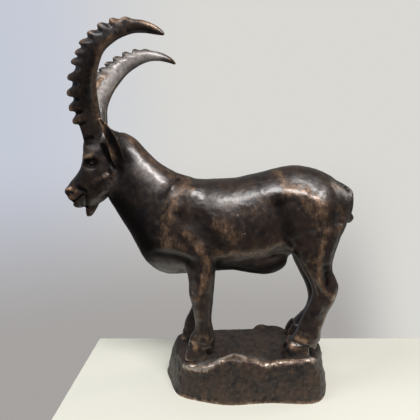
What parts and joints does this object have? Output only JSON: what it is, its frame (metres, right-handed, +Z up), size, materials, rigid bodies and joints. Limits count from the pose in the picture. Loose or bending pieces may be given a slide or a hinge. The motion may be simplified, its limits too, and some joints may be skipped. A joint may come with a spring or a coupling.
{
  "type": "ibex figurine",
  "caption": "Cast bronze figurine of an ibex with long ridged horns, standing with its feet close together on a small rough rock.",
  "frame": {"origin": "middle of the rock's flat underside, below the middle of the whole figure's length and width", "axes": "+Z up; the ibex looks along -X; +Y is its right side, so the left side faces -Y"},
  "size_m": [0.2526, 0.0985, 0.3094],
  "materials": {
    "patinated_bronze": "dark brown-black patina, satin, rubbed to copper on ridges and edges"
  },
  "bodies": {
    "root": {"ibex_figurine": "patinated_bronze"}
  },
  "joints": []
}
